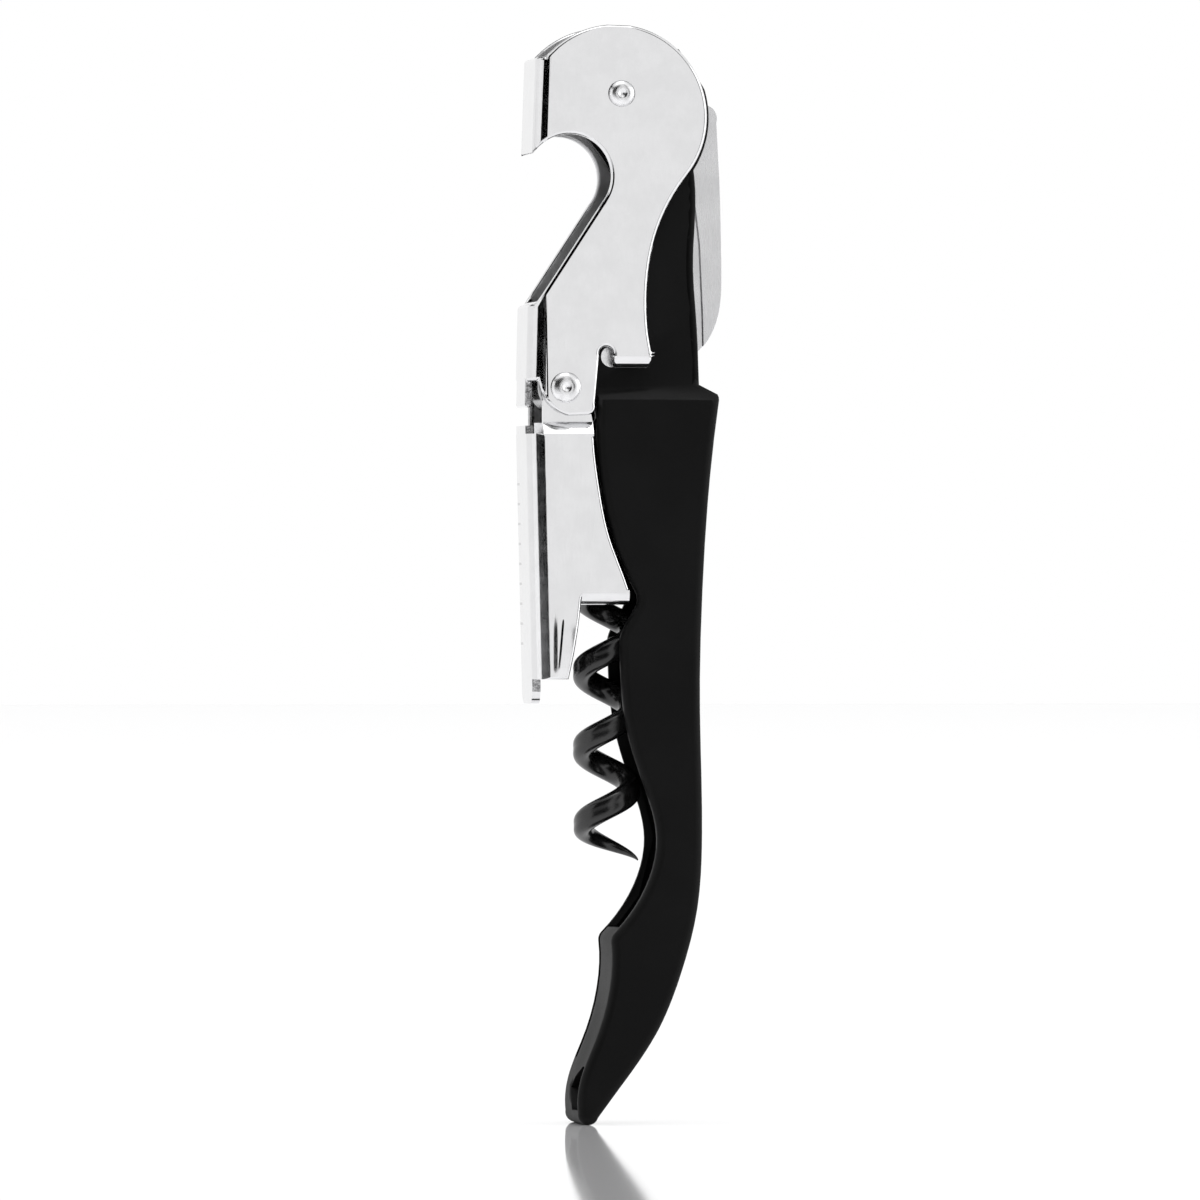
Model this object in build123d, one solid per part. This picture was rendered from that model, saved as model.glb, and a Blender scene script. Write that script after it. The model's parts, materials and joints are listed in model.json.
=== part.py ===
from build123d import *
import os
from math import cos, hypot, pi, radians, sin

# Double-hinged lever corkscrew, folded.
# +Z runs up the length, -X is the lever's ruled spine, +X is the handle's back.
# The tool is symmetric about the plane y = 0. All sizes are in millimetres.

# ---- overall size -----------------------------------------------------------
overall_height = 121.0
body_width = 12.0
OUTLINE_HEIGHT = 121.0          # height at which the side outlines below are written
profile_scale = overall_height / OUTLINE_HEIGHT

# ---- sheet metal ------------------------------------------------------------
lever_sheet = 0.9
lever_edge_round = 0.3
head_bend_radius = 1.6          # outside radius of the spine bend at the head
arm_bend_radius = 2.0           # outside radius of the spine bend lower down
tab_bend_radius = 1.3
tab_corner_round = 0.8
tab_reach = 4.4                 # half width that stays free between the step tabs
ear_play = 0.1                  # gap between the nested ears of the two arms
tongue_half_width = 3.7
end_tongue_half_width = 4.3
end_tongue_round = 1.8
handle_sheet = 1.0
lip_round = 0.95
lip_corner_round = 1.3
pocket_round = 1.7
tail_round = 1.2
neck_width = 7.4
neck_back_round = 0.9
crown_radius = 10.72
crown_round = 0.5
crown_step = 0.1                # the crown's cheeks lie this much below the neck's
mouth_width = 8.9               # gap between the handle's lips, for the worm
tail_seam_near = 3.6            # the near lip reaches across to here
tail_lip_far = 0.9              # the far lip reaches back to here, at the foot
tail_seam_low = 7.2
tail_seam_high = 21.7
tail_lip_root = 0.1             # stub of lip that stays on each wall beside an opening
foot_gap_low = 1.6
foot_gap_high = 6.4
foot_gap_floor = 1.0            # from the middle plane to the gap's lowest corner
foot_gap_shoulder = 0.4
foot_gap_crest = 3.6
foot_gap_back = 3.7             # the gap is cut from the front as far as this x
knife_slot_width = 3.4

# ---- pivots -----------------------------------------------------------------
running_gap = 0.05              # radial gap of every turning fit
side_play = 0.05                # gap on each side of a turning piece
head_rivet_diameter = 2.2
head_rivet_head = 2.9
hinge_rivet_diameter = 2.4
hinge_rivet_head = 3.4
rivet_head_height = 0.8
rivet_dimple_diameter = 1.1
sleeve_diameter = 3.7
worm_pin_diameter = 2.3
ring_wall = 1.5                 # radial wall of the spacers and washers

# ---- worm -------------------------------------------------------------------
worm_diameter = 8.07
worm_wire = 2.7
worm_pitch = 8.5
worm_eye_diameter = 5.6
worm_eye_thickness = 2.8
worm_steps_per_turn = 12

# ---- knife ------------------------------------------------------------------
blade_thickness = 1.2
blade_bevel = 0.45
blade_hub_diameter = 8.0
tooth_pitch = 1.5
tooth_depth = 0.45
wave_washer_sheet = 0.3
wave_washer_rise = 0.5

# ---- spring -----------------------------------------------------------------
spring_wire = 0.7
spring_mean_diameter = 5.1
spring_turns = 6
spring_leg_length = 6.0

# ---- worked out -------------------------------------------------------------
half_width = body_width / 2
lever_inner = half_width - lever_sheet
ear_outer = lever_inner - ear_play
ear_inner = ear_outer - lever_sheet
handle_inner = half_width - handle_sheet
neck_half = neck_width / 2
neck_inner = neck_half - handle_sheet
FAR = 40.0                      # reaches past the tool in any direction


def at(x, z):
    """A point of a side outline, at the tool's real size."""
    return (x * profile_scale, z * profile_scale)


head_pivot = at(-0.50, 113.4)
hinge_pivot = at(-6.68, 81.07)
worm_pivot = at(-1.31, 84.5)


# ---- small helpers ----------------------------------------------------------
def side_face(*edges):
    """Closed face in the side plane from edges drawn as (x, z)."""
    return Plane.XZ * make_face(list(edges))


def polygon(*points):
    """Closed straight-sided face in the side plane."""
    return Plane.XZ * make_face(Polyline(*points, close=True))


def slab(face, half):
    """Prism of a side face, symmetric about the middle plane."""
    return extrude(face, amount=half, both=True)


def rod(centre, radius, half, middle=0.0):
    """Cylinder along Y about a side point."""
    cylinder = Cylinder(radius, 2 * half, rotation=(90, 0, 0))
    return Pos(centre[0], middle, centre[1]) * cylinder


def ring(centre, outer, bore, low, high):
    """Flat ring along Y from y = low to y = high."""
    middle = (low + high) / 2
    half = (high - low) / 2
    return rod(centre, outer, half, middle) - rod(centre, bore, half + 1, middle)


def both_sides(piece):
    """The piece and its mirror image in the middle plane."""
    return piece + mirror(piece, Plane.XZ)


def cross_prism(points, x_low, x_high):
    """Prism along X of a closed outline given as (y, z)."""
    face = Plane.YZ * make_face(Polyline(*points, close=True))
    return Pos(x_low, 0, 0) * extrude(face, amount=x_high - x_low)


def rounded_slab(face, half, radius, keep=lambda edge: True):
    """Slab with its rim rounded on both sides, where keep says so."""
    solid = slab(face, half)
    near = solid.edges().filter_by_position(Axis.Y, -half - 0.01, -half + 0.01)
    far = solid.edges().filter_by_position(Axis.Y, half - 0.01, half + 0.01)
    return fillet((near + far).filter_by(keep), radius)


def round_corner(face, point, radius):
    """The side face with the corner nearest to point rounded."""
    corner = min(face.vertices(), key=lambda v: hypot(v.X - point[0], v.Z - point[1]))
    return fillet([corner], radius)


# ---- lever arms -------------------------------------------------------------
def channel(top, bottom, bend_radius):
    """U channel whose spine's outer line runs from top to bottom, open towards +X."""
    reach = 24.0 * profile_scale
    length = hypot(top[0] - bottom[0], top[1] - bottom[1])
    outside = Pos(reach / 2, 0, 0) * Box(reach, body_width, length)
    corner = outside.edges().filter_by(Axis.Z).group_by(Axis.X)[0]
    outside = fillet(corner, bend_radius)
    inside = Pos(lever_sheet + reach / 2, 0, 0) * Box(reach, 2 * lever_inner, length + 2)
    corner = inside.edges().filter_by(Axis.Z).group_by(Axis.X)[0]
    inside = fillet(corner, bend_radius - lever_sheet)
    lean = (top[0] - bottom[0]) / (top[1] - bottom[1])
    middle_x = (top[0] + bottom[0]) / 2
    middle_z = (top[1] + bottom[1]) / 2
    tilt = 180 / pi * lean
    return Pos(middle_x, 0, middle_z) * (Rot(0, tilt, 0) * (outside - inside))


def step_tab(x_low, x_high, bottom):
    """Cheek's lower edge rolled inwards over a quarter turn, on both sides."""
    centre_y = half_width - tab_bend_radius
    centre_z = bottom + tab_bend_radius
    inner_radius = tab_bend_radius - lever_sheet
    root = centre_z + lever_edge_round
    diagonal = cos(radians(45))
    outer_mid = (centre_y + tab_bend_radius * diagonal, centre_z - tab_bend_radius * diagonal)
    inner_mid = (centre_y + inner_radius * diagonal, centre_z - inner_radius * diagonal)
    section = make_face([
        ThreePointArc((half_width, centre_z), outer_mid, (centre_y, bottom)),
        Line((centre_y, bottom), (tab_reach, bottom)),
        Line((tab_reach, bottom), (tab_reach, bottom + lever_sheet)),
        Line((tab_reach, bottom + lever_sheet), (centre_y, bottom + lever_sheet)),
        ThreePointArc((centre_y, bottom + lever_sheet), inner_mid, (lever_inner, centre_z)),
        Line((lever_inner, centre_z), (lever_inner, root)),
        Line((lever_inner, root), (half_width, root)),
        Line((half_width, root), (half_width, centre_z)),
    ])
    tab = Pos(x_low, 0, 0) * extrude(Plane.YZ * section, amount=x_high - x_low)
    return both_sides(tab)


spine_top = at(-9.75, 121.2)
spine_bend_point = at(-10.48, 98.0)
spine_bottom = at(-11.02, 76.0)
step_one_low = at(-1.43, 83.3)
step_one_high = at(2.95, 83.3)
tab_side_trim = 0.05            # the rolled tab is this much shorter than its edge


def upper_outline():
    """Side outline of the upper arm, down to the flat cheek above its step tab."""
    left = -16.0
    head_centre = at(-1.12, 110.85)
    head_radius = 10.15 * profile_scale
    spine_edge = 117.4 * profile_scale
    start_x = head_centre[0] - (head_radius ** 2 - (spine_edge - head_centre[1]) ** 2) ** 0.5
    right_angle = radians(-38)
    leave = (head_centre[0] + head_radius * cos(right_angle),
             head_centre[1] + head_radius * sin(right_angle))
    over = (head_centre[0] + head_radius * cos(radians(60)),
            head_centre[1] + head_radius * sin(radians(60)))
    flat_end = step_one_low[1] + tab_bend_radius
    shoulder = (step_one_high[0], flat_end)
    notch_right = (step_one_low[0], flat_end)
    notch_top = at(-2.17, 85.6)
    notch_left = at(-2.92, 84.6)
    ear_right = at(-3.39, 79.2)
    ear_foot = at(-4.3, 78.05)
    return side_face(
        Line((left, spine_edge), (start_x, spine_edge)),
        ThreePointArc((start_x, spine_edge), over, leave),
        Spline(leave, at(3.78, 99.2), at(2.38, 92.5), at(2.45, 87.5), shoulder,
               tangents=[(sin(right_angle), -cos(right_angle)), (0.22, -1)]),
        Line(shoulder, notch_right),
        ThreePointArc(notch_right, notch_top, notch_left),
        Line(notch_left, ear_right),
        ThreePointArc(ear_right, at(-3.6, 78.35), ear_foot),
        Line(ear_foot, at(-6.3, 77.95)),
        ThreePointArc(at(-6.3, 77.95), at(-8.64, 79.4), at(-9.6, 81.8)),
        Line(at(-9.6, 81.8), (left, 81.8 * profile_scale)),
        Line((left, 81.8 * profile_scale), (left, spine_edge)),
    )


def cap_lifter_face():
    """The round mouth, its hooked tooth and the slanted edge below it."""
    mouth = at(-6.25, 104.3)
    round_part = Plane.XZ * (Pos(*mouth) * Circle(4.63 * profile_scale))
    slant = polygon(at(-16, 106.3), at(-6.25, 106.3), at(-2.40, 101.78),
                    at(-9.95, 90.2), at(-16, 90.2))
    return round_part + slant


def clear_of_tab(height):
    """Test for rim edges that don't meet a step tab whose flat ends at height."""
    return lambda edge: abs(edge.center().Z - height) > 0.01


def spine_strip(low, high):
    """Block around the flat of the spine between two heights."""
    return Pos(-10 * profile_scale, 0, (low + high) / 2) * Box(
        3.2 * profile_scale, 2 * tongue_half_width, high - low)


def upper_arm():
    head = channel(spine_top, spine_bend_point, head_bend_radius)
    shank = channel(spine_bend_point, spine_bottom, arm_bend_radius)
    side = slab(upper_outline() - cap_lifter_face(), FAR)
    arm = (head & side) + (shank & side)
    overlap = 0.5
    tongue = spine_strip(78.9 * profile_scale, 81.8 * profile_scale + overlap)
    arm = arm + (shank & tongue)
    arm = arm + step_tab(step_one_low[0] + tab_side_trim, step_one_high[0] - tab_side_trim,
                         step_one_low[1])
    arm = arm - rod(head_pivot, head_rivet_diameter / 2 + running_gap, FAR)
    return arm - rod(hinge_pivot, hinge_rivet_diameter / 2, FAR)


lower_spine_top = at(-10.88, 76.9)
lower_spine_bottom = at(-10.15, 46.3)
step_two_low = at(-4.9, 57.2)
step_two_high = at(0.45, 57.2)
cheek_bottom = 49.0 * profile_scale
joggle_low = 76.0 * profile_scale
joggle_high = 77.3 * profile_scale


def lower_outline():
    """Side outline of the lower arm's cheeks below the stepped-in band."""
    left = -16.0
    flat_end = step_two_low[1] + tab_bend_radius
    tip = (step_two_high[0], flat_end)
    band_right = at(-3.57, 76.0)
    tongue_right = (step_two_low[0], flat_end)
    return side_face(
        Line((left, joggle_low), band_right),
        Spline(band_right, at(-2.90, 70.0), at(-1.79, 64.7), tip,
               tangents=[(0.04, -1), (0.3, -1)]),
        Line(tip, tongue_right),
        Spline(tongue_right, at(-5.35, 54.2), at(-6.36, 49.0)),
        Line(at(-6.36, 49.0), (left, cheek_bottom)),
        Line((left, cheek_bottom), (left, joggle_low)),
    )


def ear_plates():
    """Stepped-in band and round ears of the lower arm, inside the upper arm's ears."""
    ear_radius = 2.4 * profile_scale
    left = hinge_pivot[0] - ear_radius
    right = -3.57 * profile_scale
    top = hinge_pivot[1] + ear_radius + 1
    web = polygon((left, joggle_low - 0.3), (right, joggle_low - 0.3), (right, joggle_high),
                  (hinge_pivot[0] + ear_radius, hinge_pivot[1]), (left, hinge_pivot[1]))
    plate_outline = slab(web, FAR) + rod(hinge_pivot, ear_radius, FAR)
    low = joggle_low - 0.3
    band = cross_prism([(half_width, low), (half_width, joggle_low), (ear_outer, joggle_high),
                        (ear_outer, top), (ear_inner, top), (ear_inner, joggle_high),
                        (lever_inner, joggle_low), (lever_inner, low)], -FAR, 2 * FAR)
    return plate_outline & both_sides(band)


def end_tongue():
    """Block around the spine's rounded end below the cheeks."""
    low = lower_spine_bottom[1]
    high = cheek_bottom + 0.5
    block = Pos(-10 * profile_scale, 0, (low + high) / 2) * Box(
        4 * profile_scale, 2 * end_tongue_half_width, high - low)
    lower_edges = block.edges().filter_by(Axis.X).group_by(Axis.Z)[0]
    return fillet(lower_edges, end_tongue_round)


def lower_arm():
    body = channel(lower_spine_top, lower_spine_bottom, arm_bend_radius)
    tab_top = step_two_low[1] + tab_bend_radius
    outline = round_corner(lower_outline(), (step_two_low[0], tab_top), tab_corner_round)
    tab_line = clear_of_tab(tab_top)
    arm = body & rounded_slab(outline, half_width, lever_edge_round, tab_line)
    top_tongue = spine_strip(joggle_low - 1, lower_spine_top[1])
    arm = arm + (body & top_tongue) + (body & end_tongue()) + ear_plates()
    arm = arm + step_tab(step_two_low[0], step_two_high[0] - tab_side_trim, step_two_low[1])
    return arm - rod(hinge_pivot, hinge_rivet_diameter / 2 + running_gap, FAR)


# ---- handle -----------------------------------------------------------------
grip_top = 79.7 * profile_scale
neck_start = 81.4 * profile_scale


def back_points():
    """The handle's back line from the shoulder down to the tail."""
    return [at(10.46, 79.6), at(9.35, 70.0), at(8.57, 57.5), at(8.34, 46.7), at(8.57, 31.0),
            at(8.01, 23.5), at(6.34, 16.9), at(3.66, 10.3), at(-0.9, 3.6), at(-3.0, 0.75)]


def tail_front_points():
    """The front edge from the tail up to the corner below the pocket for the worm's tip."""
    return [at(-5.2, 1.3), at(-4.85, 5.2), at(-3.13, 9.7), at(-1.68, 15.2), at(-1.62, 20.6)]


def worm_front_points():
    """The front edge beside the worm, up to the notch for the lower arm's tip."""
    return [at(-1.62, 20.6), at(2.0, 25.4), at(3.56, 31.5), at(1.77, 38.3), at(-0.34, 47.5),
            at(-0.55, 52.5), at(1.62, 57.7)]


def arm_front_points():
    """The front edge that follows the lower arm."""
    return [at(1.62, 57.7), at(-0.52, 62.2), at(-2.10, 67.5), at(-3.05, 74.0),
            at(-3.10, 79.7)]


def grip_face():
    """Side outline of the grip: shoulder, back, tail and the waved front edge."""
    back = back_points()
    tail_front = tail_front_points()
    worm_front = worm_front_points()
    arm_front = arm_front_points()
    face = side_face(
        Spline(*back),
        ThreePointArc(back[-1], at(-4.35, 0.0), tail_front[0]),
        Spline(*tail_front),
        Spline(*worm_front, tangents=[(1, 1), (0.6, 1)]),
        Spline(*arm_front, tangents=[(-0.5, 1), (0, 1)]),
        Line(arm_front[-1], at(-3.10, 81.4)),
        Line(at(-3.10, 81.4), at(8.5, 81.4)),
        Line(at(8.5, 81.4), at(10.3, 80.35)),
        Line(at(10.3, 80.35), back[0]),
    )
    face = round_corner(face, tail_front[-1], lip_corner_round)
    face = round_corner(face, worm_front[-1], pocket_round)
    return round_corner(face, tail_front[0], tail_round)


def inset(points, distance):
    """The points moved to the right of their direction of travel."""
    moved = []
    last = len(points) - 1
    for i, (x, z) in enumerate(points):
        before = points[max(i - 1, 0)]
        after = points[min(i + 1, last)]
        along_x = after[0] - before[0]
        along_z = after[1] - before[1]
        length = hypot(along_x, along_z)
        moved.append((x + distance * along_z / length, z - distance * along_x / length))
    return moved


def grip_inside_face():
    """Side outline of the hollow inside the grip, one sheet in from its edges."""
    back = inset(back_points()[:-1], handle_sheet)
    front = tail_front_points()[1:] + worm_front_points()[1:] + arm_front_points()[1:]
    front = inset(front, handle_sheet)
    top = 86.0 * profile_scale
    return side_face(
        Spline(*back),
        Line(back[-1], front[0]),
        Polyline(*front),
        Line(front[-1], (front[-1][0], top)),
        Line((front[-1][0], top), (back[0][0], top)),
        Line((back[0][0], top), back[0]),
    )


def neck_face():
    """Side outline of the narrow neck and its round head."""
    head_radius = 5.0 * profile_scale
    x, z = head_pivot
    left = (x - head_radius, z)
    lower_left = (x - head_radius * cos(radians(50)), z - head_radius * sin(radians(50)))
    right = (x + head_radius * cos(radians(20)), z + head_radius * sin(radians(20)))
    return side_face(
        Line(at(-3.10, 78.5), at(-3.10, 88.0)),
        Spline(at(-3.10, 88.0), at(-2.3, 97.0), at(-0.1, 103.5), lower_left,
               tangents=[(0, 1), (-0.6, 0.8)]),
        ThreePointArc(lower_left, left, (x, z + head_radius)),
        ThreePointArc((x, z + head_radius), (x + head_radius * cos(radians(55)),
                      z + head_radius * sin(radians(55))), right),
        Spline(right, at(8.15, 103.0), at(7.9, 95.0), at(8.3, 88.0), at(8.6, 80.6),
               at(8.7, 78.5), tangents=[(0.6, -1), (0.05, -1)]),
        Line(at(8.7, 78.5), at(-3.10, 78.5)),
    )


def neck_crown():
    """Round plate behind the neck's head that follows the rim of the lever's head."""
    centre = at(-1.12, 110.85)
    disc = rod(centre, crown_radius, neck_half - crown_step)
    disc = fillet(disc.edges(), crown_round)
    window = polygon(at(4.5, 104.0), at(FAR, 104.0), at(FAR, 114.0), at(9.1, 114.0),
                     at(6.2, 118.4), at(4.5, 118.4))
    return disc & slab(window, FAR)


def width_wedge(narrow, wide, low, high):
    """Front outline that is wide below low and narrow above high."""
    bottom = -5.0
    top = overall_height + 5.0
    return cross_prism([(-wide, bottom), (wide, bottom), (wide, low), (narrow, high),
                        (narrow, top), (-narrow, top), (-narrow, high), (-wide, low)],
                       -FAR, FAR)


def tail_seam():
    """Narrow gap between the far wall and the near lip, which reaches across to it."""
    face = polygon(at(-FAR, tail_seam_low), at(-2.4, tail_seam_low), at(2.0, tail_seam_high),
                   at(-FAR, tail_seam_high))
    near_lip = cross_prism([(-FAR, 0.0), (tail_seam_near, 0.0), (tail_seam_near, FAR),
                            (-FAR, FAR)], -FAR, FAR)
    return slab(face, handle_inner - tail_lip_root) - near_lip


def foot_opening():
    """Leaf-shaped gap at the foot, between the near wall and the far wall's lip."""
    root = tail_lip_root - handle_inner
    low = foot_gap_low * profile_scale
    high = foot_gap_high * profile_scale
    waist = (low + high) / 2
    shoulder = (waist + high) / 2
    outline = [(root, low), (-foot_gap_floor, low), (tail_lip_far, waist),
               (-foot_gap_shoulder, shoulder), (-foot_gap_crest, high), (root, high)]
    return cross_prism(outline, -FAR, -foot_gap_back * profile_scale)


def handle_shell():
    below_top = grip_top - 0.2
    grip = rounded_slab(grip_face(), half_width, lip_round,
                        lambda edge: edge.center().Z < below_top)
    grip = grip & width_wedge(neck_half, half_width, grip_top, neck_start)
    neck_back = 7.0 * profile_scale
    neck = rounded_slab(neck_face(), neck_half, neck_back_round,
                        lambda edge: edge.center().X > neck_back)
    shell = grip + neck + neck_crown()

    wedge_shift = handle_sheet * 0.35
    inside_wedge = width_wedge(neck_inner, handle_inner, grip_top - wedge_shift,
                               neck_start - wedge_shift)
    grip_room = slab(grip_inside_face(), handle_inner) & inside_wedge
    neck_room_face = polygon(at(-FAR, 79.0), at(-FAR, 121.0 + 5), at(FAR, 121.0 + 5),
                             at(FAR, 104.0), at(7.1, 102.0), at(6.9, 95.0), at(7.3, 88.0),
                             at(7.5, 79.0))
    neck_room = slab(neck_room_face, neck_inner)
    mouth_face = polygon(at(-FAR, 21.6), at(2.4, 21.6), at(6.0, 32.0), at(5.0, 45.0),
                         at(4.6, 60.0), at(4.6, 82.5), at(-FAR, 82.5))
    mouth = slab(mouth_face, mouth_width / 2) & width_wedge(
        neck_inner, mouth_width / 2, grip_top - wedge_shift, neck_start - wedge_shift)
    knife_face = polygon(at(0, 83.0), at(FAR, 83.0), at(FAR, 126.0), at(0, 126.0))
    knife_slot = slab(knife_face, knife_slot_width / 2)
    shell = shell - grip_room - neck_room - mouth - tail_seam() - foot_opening() - knife_slot
    shell = shell - rod(head_pivot, head_rivet_diameter / 2, FAR)
    return shell - rod(worm_pivot, worm_pin_diameter / 2, FAR)


# ---- rivets, pins and rings -------------------------------------------------
def domed_head(centre, radius, side):
    """Low dome with a small dimple, standing on the cheek's outer face."""
    sphere_radius = (radius ** 2 + rivet_head_height ** 2) / (2 * rivet_head_height)
    ball = Sphere(sphere_radius)
    keep = Pos(0, 0, sphere_radius) * Box(4 * radius, 4 * radius, 2 * rivet_head_height)
    dome = ball & keep
    dimple_ball = rivet_dimple_diameter
    dimple = Pos(0, 0, sphere_radius + dimple_ball * 0.8) * Sphere(dimple_ball)
    dome = Pos(0, 0, -(sphere_radius - rivet_head_height)) * (dome - dimple)
    turned = Rot(90, 0, 0) * dome if side < 0 else Rot(-90, 0, 0) * dome
    return Pos(centre[0], side * half_width, centre[1]) * turned


def domed_rivet(centre, shank_diameter, head_diameter):
    shank = rod(centre, shank_diameter / 2, half_width)
    for side in (-1, 1):
        shank = shank + domed_head(centre, head_diameter / 2, side)
    return shank


def spacer_pair(name, centre, diameter, inner_half, outer_half):
    """Two rings on a pin, left one at y < 0, filling the gap beside a turning piece."""
    bore = diameter / 2
    outer = bore + ring_wall
    left = ring(centre, outer, bore, -outer_half, -inner_half)
    right = ring(centre, outer, bore, inner_half, outer_half)
    return {name + "_left": left, name + "_right": right}


def wave_washer(centre, bore, outer, low):
    """Dished washer: a thin cone between the blade and its spacer."""
    rise = wave_washer_rise - wave_washer_sheet
    section = make_face(Polyline((bore, 0), (outer, rise), (outer, rise + wave_washer_sheet),
                                 (bore, wave_washer_sheet), close=True))
    cone = revolve(Plane.XZ * section, axis=Axis.Z)
    return Pos(centre[0], low, centre[1]) * (Rot(-90, 0, 0) * cone)


# ---- worm -------------------------------------------------------------------
worm_top = 78.6 * profile_scale
worm_turns = (worm_top - 28.75 * profile_scale) / worm_pitch
worm_start_angle = 2 * pi * worm_turns
taper_turns = 0.62
taper_lift = 0.35               # the ground point rises above the helix by this much


def worm_point(turn):
    """Point of the wire's centre line, counted in turns down from the shank."""
    full = (worm_diameter - worm_wire) / 2
    blend = min(turn / 0.6, 1.0)
    radius = full * blend * blend * (3 - 2 * blend)
    ground = max(0.0, 1 - (worm_turns - turn) / taper_turns) ** 2
    radius = radius + ground * 0.3 * worm_wire
    angle = worm_start_angle - 2 * pi * turn
    x = worm_pivot[0] + radius * cos(angle)
    y = radius * sin(angle)
    return (x, y, worm_top - worm_pitch * turn + ground * taper_lift)


def worm():
    body_turns = worm_turns - taper_turns
    count = int(body_turns * worm_steps_per_turn)
    path = [worm_point(body_turns * i / count) for i in range(count + 1)]
    wire = Spline(*path)
    disc = Plane(wire @ 0, z_dir=wire % 0) * Circle(worm_wire / 2)
    coil = sweep(disc, path=wire, is_frenet=False)
    taper_count = 9
    tail = [worm_point(body_turns + taper_turns * i / taper_count)
            for i in range(taper_count + 1)]
    tail_wire = Spline(*tail, tangents=[wire % 1, (Vector(*tail[-1]) - Vector(*tail[-2]))])
    sections = []
    for share in (0.0, 0.5, 1.0):
        radius = worm_wire / 2 * (1 - 0.88 * share ** 1.5)
        sections.append(Plane(tail_wire @ share, z_dir=tail_wire % share) * Circle(radius))
    point = sweep(sections, path=tail_wire, multisection=True)
    shank_length = worm_pivot[1] - worm_top
    shank = Pos(worm_pivot[0], 0, worm_top + shank_length / 2) * Cylinder(
        worm_wire / 2, shank_length)
    eye = rod(worm_pivot, worm_eye_diameter / 2, worm_eye_thickness / 2)
    joined = (shank + eye) + (coil + point)
    return joined - rod(worm_pivot, worm_pin_diameter / 2 + running_gap, FAR)


# ---- knife ------------------------------------------------------------------
def knife_blade():
    x, z = head_pivot
    hub = blade_hub_diameter / 2
    tip = at(8.63, 85.0)
    heel = at(6.6, 104.5)
    blade = side_face(
        Line((x + 1.0, z + hub * 0.97), at(9.9, 112.3)),
        ThreePointArc(at(9.9, 112.3), at(10.6, 111.8), at(10.86, 110.4)),
        Spline(at(10.86, 110.4), at(11.2, 104.0), at(11.42, 94.6), at(11.15, 89.6),
               at(10.2, 86.9), tip),
        Line(tip, at(7.6, 87.0)),
        Spline(at(7.6, 87.0), at(6.75, 92.0), at(6.5, 98.0), heel),
        Line(heel, (x + 2.6, z - hub * 0.78)),
        Line((x + 2.6, z - hub * 0.78), (x + 1.0, z + hub * 0.97)),
    )
    solid = slab(blade, blade_thickness / 2) + rod(head_pivot, hub, blade_thickness / 2)
    edge_line = polygon(at(4.0, 105.0), at(8.0, 105.0), at(8.95, 97.0), at(9.3, 89.0),
                        at(9.4, 84.0), at(4.0, 84.0))
    ground_low = blade_thickness / 2 - blade_bevel
    height = 4 * overall_height
    solid = solid - (slab(edge_line, FAR) & both_sides(
        Pos(0, ground_low + FAR / 2, 0) * Box(height, FAR, height)))
    first_x, first_z = at(6.95, 88.5)
    lean = 0.02                 # the toothed edge leans this much per millimetre of height
    for i in range(int(15 * profile_scale / tooth_pitch)):
        tooth_z = first_z + i * tooth_pitch
        tooth_x = first_x - lean * i * tooth_pitch - tooth_depth
        solid = solid - rod((tooth_x, tooth_z), tooth_pitch * 0.42, FAR)
    return solid - rod(head_pivot, head_rivet_diameter / 2 + running_gap, FAR)


# ---- spring -----------------------------------------------------------------
def torsion_spring():
    """Close coil on the sleeve; straight legs run along the inside of both spines."""
    radius = spring_mean_diameter / 2
    length = 2 * (ear_inner - side_play) - spring_wire - 0.1
    helix = Helix(pitch=length / spring_turns, height=length, radius=radius)
    start = helix @ 0
    disc = Plane(start, z_dir=helix % 0) * Circle(spring_wire / 2)
    coil = sweep(disc, path=helix, is_frenet=True)
    coil = Rot(90, 0, 0) * (Rot(0, 0, 180) * (Pos(0, 0, -length / 2) * coil))
    leg_x = -radius
    half = spring_leg_length / 2
    leg = Cylinder(spring_wire / 2, spring_leg_length)
    upper = Pos(leg_x, -length / 2, half) * leg
    lower = Pos(leg_x, length / 2, -half) * leg
    return Pos(hinge_pivot[0], 0, hinge_pivot[1]) * (coil + upper + lower)


# ---- the whole tool ---------------------------------------------------------
def build_nodes():
    nodes = {
        "handle_shell": handle_shell(),
        "upper_lever_arm": upper_arm(),
        "lower_lever_arm": lower_arm(),
        "worm": worm(),
        "worm_pin": rod(worm_pivot, worm_pin_diameter / 2, neck_half),
        "knife_blade": knife_blade(),
        "head_rivet": domed_rivet(head_pivot, head_rivet_diameter, head_rivet_head),
        "hinge_rivet": domed_rivet(hinge_pivot, hinge_rivet_diameter, hinge_rivet_head),
        "hinge_sleeve": ring(hinge_pivot, sleeve_diameter / 2, hinge_rivet_diameter / 2,
                             -ear_inner + side_play, ear_inner - side_play),
        "hinge_torsion_spring": torsion_spring(),
    }
    nodes.update(spacer_pair("worm_spacer", worm_pivot, worm_pin_diameter,
                             worm_eye_thickness / 2 + side_play, neck_inner))
    nodes.update(spacer_pair("head_washer", head_pivot, head_rivet_diameter,
                             neck_half, lever_inner - side_play))
    blade_half = blade_thickness / 2 + side_play
    bore = head_rivet_diameter / 2
    nodes["knife_spacer_left"] = ring(head_pivot, bore + ring_wall, bore,
                                      -neck_inner, -blade_half)
    nodes["knife_spacer_right"] = ring(head_pivot, bore + ring_wall, bore,
                                       blade_half + wave_washer_rise, neck_inner)
    nodes["knife_friction_washer"] = wave_washer(head_pivot, bore + 0.02, bore + ring_wall,
                                                 blade_half)
    return nodes


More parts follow.
